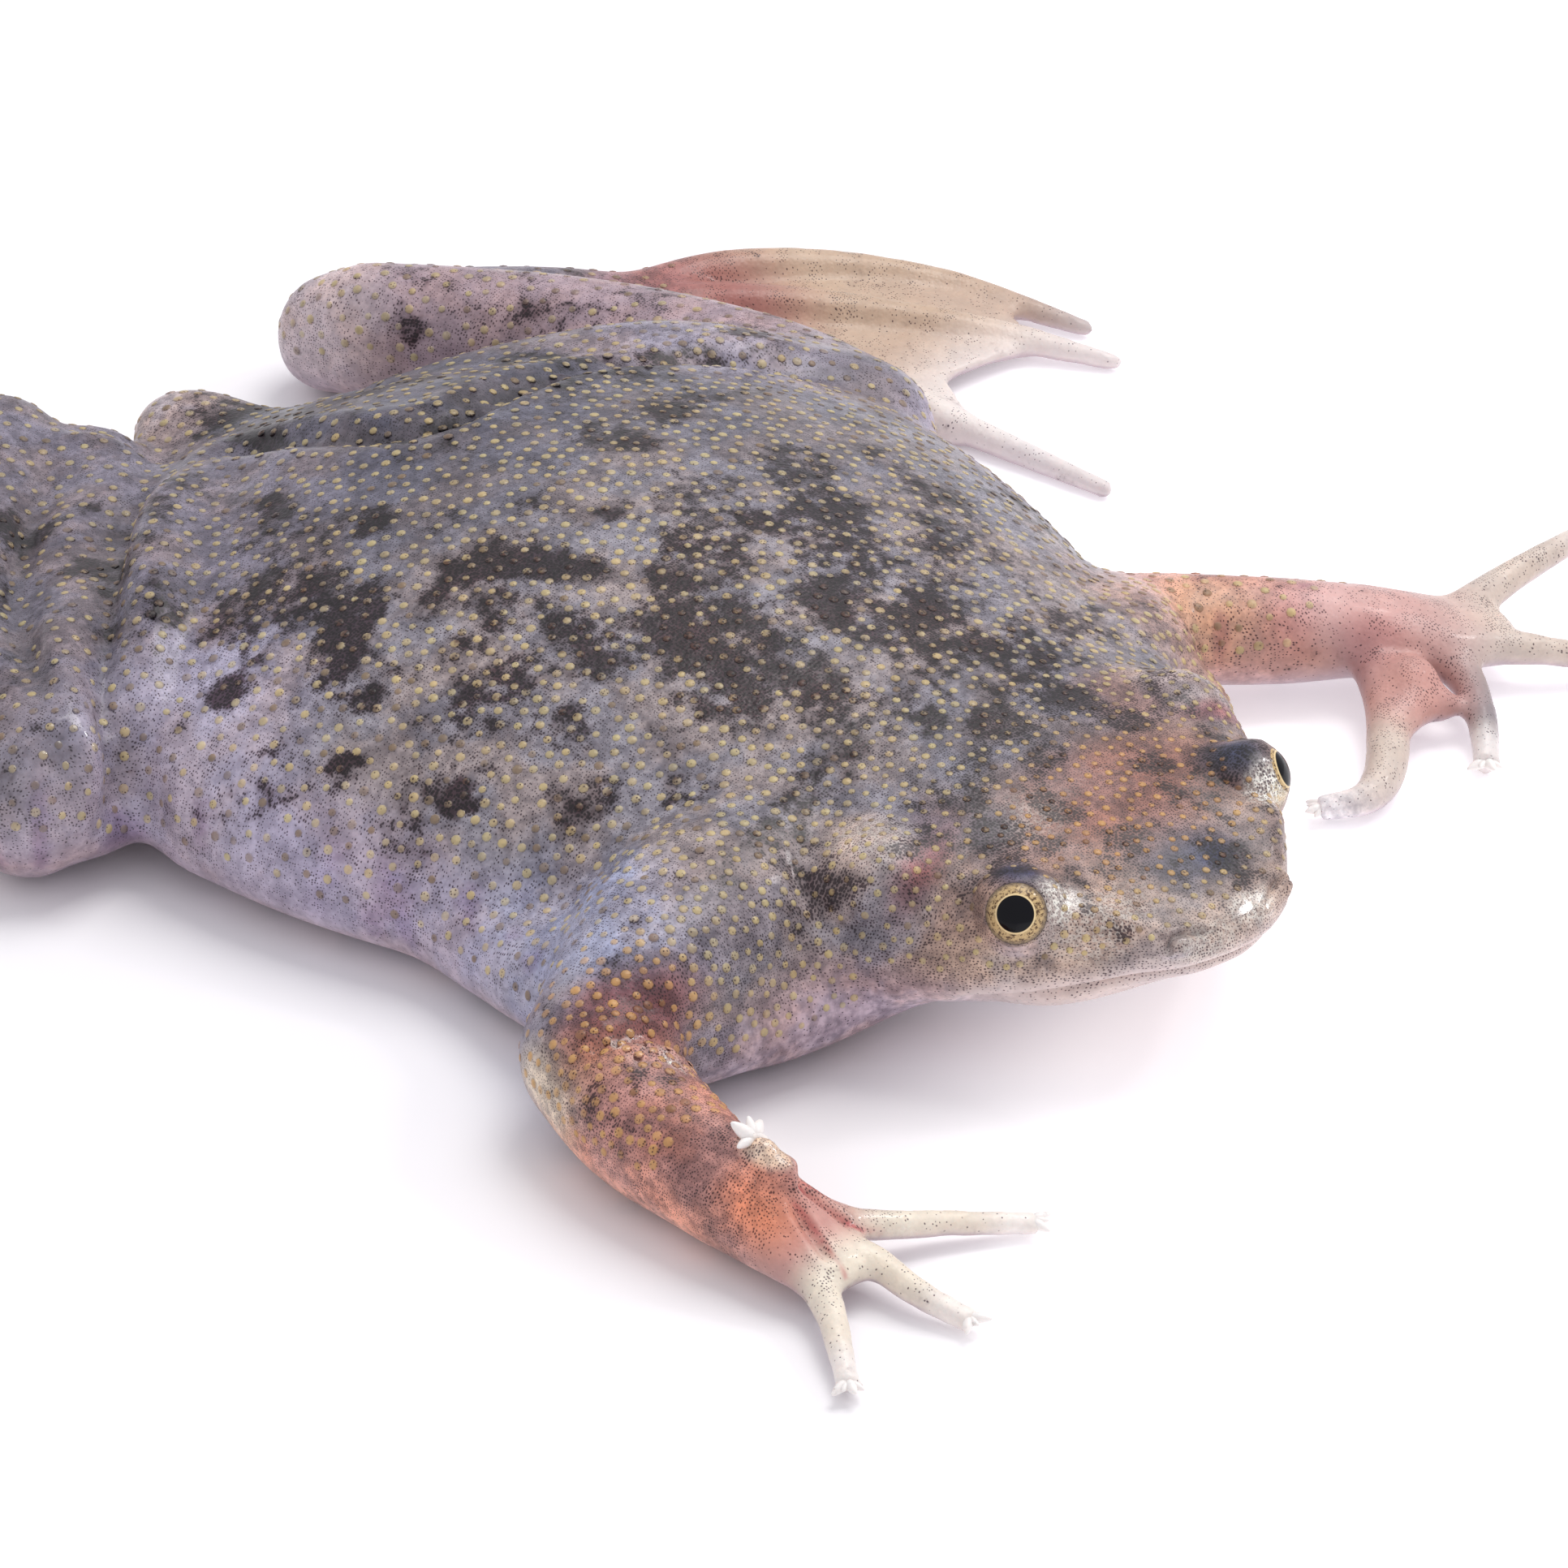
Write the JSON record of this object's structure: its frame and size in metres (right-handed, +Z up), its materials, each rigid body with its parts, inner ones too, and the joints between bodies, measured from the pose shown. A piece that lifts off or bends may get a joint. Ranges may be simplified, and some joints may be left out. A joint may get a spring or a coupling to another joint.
{
  "type": "dwarf surinam toad model",
  "caption": "Life-size still model of a small flat aquatic toad crouching on its belly, with slender forked fingers, webbed hind feet, a blunt flat head and small lidless eyes.",
  "frame": {"origin": "on the floor under the middle of the belly", "axes": "+Z up from the floor, -Y towards the snout, +X towards the animal's left side"},
  "size_m": [0.0499, 0.0473, 0.0075],
  "materials": {
    "skin_back": "moist mottled grey-brown skin with fine pale tubercles",
    "skin_limb": "moist reddish grey skin with fine pale tubercles",
    "skin_digit": "thin moist cream skin",
    "eye": "clear wet eye with a gold iris and a black pupil"
  },
  "bodies": {
    "root": {"torso": "skin_back", "head": "skin_back", "lower_jaw": "skin_back", "eye_left": "eye", "eye_right": "eye", "upper_arm_left": "skin_limb", "upper_arm_right": "skin_limb", "forearm_left": "skin_limb", "forearm_right": "skin_limb", "hand_left": "skin_digit", "hand_right": "skin_digit", "thigh_left": "skin_limb", "thigh_right": "skin_limb", "shank_left": "skin_limb", "shank_right": "skin_limb", "tarsus_left": "skin_limb", "tarsus_right": "skin_limb", "foot_left": "skin_digit", "foot_right": "skin_digit"}
  },
  "joints": []
}
